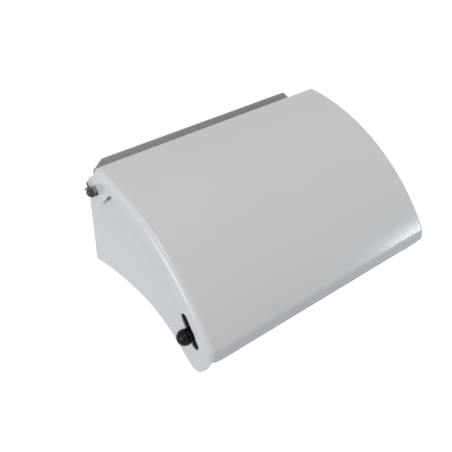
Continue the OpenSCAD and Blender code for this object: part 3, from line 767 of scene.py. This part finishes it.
# ---- Latch slider ----
# Moulded black acetal behind the slot in the left cheek. Its guide runs in the slot, and its nose
# drops over the lip's return to lock the hood.
latch_rest = 2.2
latch_middle = slot_middle + latch_rest * slot_way
slider_face, slider_t, nose_depth = -152.2, 3, 10.2
slider = blank(
    "slide_plate", "side", slider_face, slider_t, *stadium(48, 20, latch_middle))
nose = [(189.12, -21.19), (210.43, -25.19), (218.43, -29.19), (218.43, -33.19)]
nose_foot = (210.43, -33.19)
arm_root, arm_end = tuple(latch_middle), tuple(latch_middle + 12 * slot_way)
arm = blank("arm", "side", slider_face, slider_t, arm_root, [*nose, arm_end, arm_root])
combine(slider, arm, "UNION")
nose_block = blank("nose", "side", slider_face, nose_depth, nose_foot, [*nose[1:], nose_foot])
combine(slider, nose_block, "UNION")
guide = blank("guide", "side", -154.6, 2.5, *stadium(12.4, 11.4, latch_middle))
combine(slider, guide, "UNION")
stud_d = 5
combine(slider, rod("cut", "side", -156, 8, latch_middle, stud_d), "DIFFERENCE")
ease_edges(slider, 0.3)
flatten_shading(slider)
black_plastic = finish_of(
    "black_acetal", (0.004, 0.004, 0.0045), (0.014, 0.014, 0.015),
    rough=0.5, bump_mm=0.015, fine=1500.0, wear=0.4, swing=0.003,
    inputs={"Specular IOR Level": 0.08})
seat(slider, "latch", "black_plastic", black_plastic, "latch_slider")

# ---- Latch stud, washer and nut ----
# A zinc-plated stud through the slider, with a black acetal washer outside the cheek and a
# hexagon nut behind.
stud = turned("threaded_stud", latch_middle, [
    (144.6, 0), (144.6, 2.1), (145.0, 2.5), (164.0, 2.5), (164.4, 2.1), (164.4, 0)], sides=40)
ease_edges(stud, 0.1, segments=1)
seat(stud, "latch", "zinc_steel", zinc, "latch_stud")
glide = ring("glide_washer", latch_middle, 154.6, 155.4, d=14, bore=stud_d, edge=0.2)
seat(glide, "latch", "black_plastic", black_plastic, "latch_washer")
lock_nut = turned("hex_nut", latch_middle, [
    (145.2, 2.5), (145.2, 3.9), (145.6, 4.65), (148.8, 4.65), (149.2, 3.9), (149.2, 2.5),
    (145.2, 2.5)])
lock_flats = 8
combine(lock_nut, hexagon("cut", latch_middle, -150, 6, lock_flats), "INTERSECT")
ease_edges(lock_nut, 0.12, segments=1)
seat(lock_nut, "latch", "zinc_steel", zinc, "latch_nut")

# ---- Latch knob ----
# A 17 mm ball knob of polished black phenolic on the stud. It is moulded with a flat, which
# bears on the washer.
knob = turned("ball_knob", latch_middle, [
    (155.4, 0), (155.4, 6.306), (169.6, 0, (161.1, 0), 1, 40)])
ease_edges(knob, 0.1, segments=1)
black_gloss = finish_of(
    "polished_phenolic", (0.003, 0.003, 0.0035), (0.014, 0.014, 0.015),
    rough=0.3, bump_mm=0.004, fine=600.0, wear=0.3, swing=0.003,
    inputs={"Specular IOR Level": 0.16})
seat(knob, "latch", "black_gloss", black_gloss, "latch_knob")

# ---- Camera ----
# Stands at the upper front left. Its place and turn were fitted to the outlines of the rolled
# hood; metres from the centre of the wall screws.
camera_place = Vector((-0.41875, -0.55893, 0.44576))
camera_right = Vector((0.78894, -0.61444, 0.00653))
camera_ahead = Vector((0.50803, 0.64627, -0.56941))
camera_up = Vector((0.34565, 0.45255, 0.82203))
photo_px = 452
focal_px = 663.1
sensor_mm = 36.0
centre_px = (-13.43, -32.49)
camera_data = bpy.data.cameras.new("camera")
camera_data.sensor_width = sensor_mm
camera_data.lens = focal_px / photo_px * sensor_mm
camera_data.shift_x = -centre_px[0] / photo_px
camera_data.shift_y = centre_px[1] / photo_px
camera_data.clip_start = 0.01
camera = bpy.data.objects.new("camera", camera_data)
scene.collection.objects.link(camera)
turn = Matrix((camera_right, camera_up, -camera_ahead)).transposed()
camera.matrix_world = Matrix.Translation(camera_place) @ turn.to_4x4()
scene.camera = camera

# ---- Floor and light ----
# A floor well below the wall-hung part. Floor and room look white to the camera and in
# reflections, but light the part only as a pale room does. One broad lamp stands at the left,
# one hangs above in front, and a small bright one at the right glints along the lip.
floor_drop, floor_size = 0.9, 14
floor_tone = (0.29, 0.31, 0.34)
floor_glow = 0.9
room_level = 0.52
bpy.ops.object.select_all(action="DESELECT")
bpy.ops.mesh.primitive_plane_add(size=floor_size, location=(0, 0, -floor_drop))
floor = bpy.context.active_object
floor.name = "floor"


def seen_or_mirrored(tree):
    """1 for camera, glossy and transmission rays, and 0 for the light that falls on the part."""
    rays = node(tree, "LightPath")
    either = maths(tree, "MAXIMUM", rays.outputs["Is Camera Ray"], rays.outputs["Is Glossy Ray"])
    return maths(tree, "MAXIMUM", either, rays.outputs["Is Transmission Ray"])


floor_paint = bpy.data.materials.new("floor_paint")
floor_paint.use_nodes = True
tree = floor_paint.node_tree
matt = tree.nodes["Principled BSDF"]
matt.inputs["Base Color"].default_value = (*floor_tone, 1)
matt.inputs["Roughness"].default_value = 0.9
matt.inputs["Specular IOR Level"].default_value = 0.0
glow = node(tree, "Emission")
glow_level = maths(tree, "MULTIPLY", seen_or_mirrored(tree), floor_glow)
tree.links.new(glow_level, glow.inputs["Strength"])
both = node(tree, "AddShader")
tree.links.new(matt.outputs["BSDF"], both.inputs[0])
tree.links.new(glow.outputs["Emission"], both.inputs[1])
tree.links.new(both.outputs["Shader"], tree.nodes["Material Output"].inputs["Surface"])
floor.data.materials.append(floor_paint)

world = bpy.data.worlds.new("room")
scene.world = world
world.use_nodes = True
tree = world.node_tree
lift = maths(tree, "MULTIPLY", seen_or_mirrored(tree), 1 - room_level)
tree.links.new(maths(tree, "ADD", lift, room_level), tree.nodes["Background"].inputs["Strength"])
tree.nodes["Background"].inputs["Color"].default_value = (1, 1, 1, 1)


def soft_lamp(name, place, target, width, height, watts, tint):
    """A rectangular lamp in metres and watts, turned towards a target."""
    lamp_data = bpy.data.lights.new(name, "AREA")
    lamp_data.shape = "RECTANGLE"
    lamp_data.size = width
    lamp_data.size_y = height
    lamp_data.energy = watts
    lamp_data.color = tint
    lamp = bpy.data.objects.new(name, lamp_data)
    scene.collection.objects.link(lamp)
    lamp.location = place
    lamp.rotation_euler = (Vector(target) - Vector(place)).to_track_quat("-Z", "Y").to_euler()


soft_lamp(
    "window", (-2.1, -0.3, 0.5), (0, -0.1, 0),
    width=1.2, height=1.2, watts=23, tint=(0.89, 0.94, 1.0))
soft_lamp(
    "skylight", (-0.25, -0.55, 2.1), (0, -0.1, 0),
    width=1.2, height=1.2, watts=11, tint=(1.0, 1.0, 1.0))
soft_lamp(
    "pane", (1.08, -1.06, 0.1), (0.1, -0.2, 0),
    width=0.3, height=0.25, watts=3.2, tint=(0.8, 0.94, 1.0))
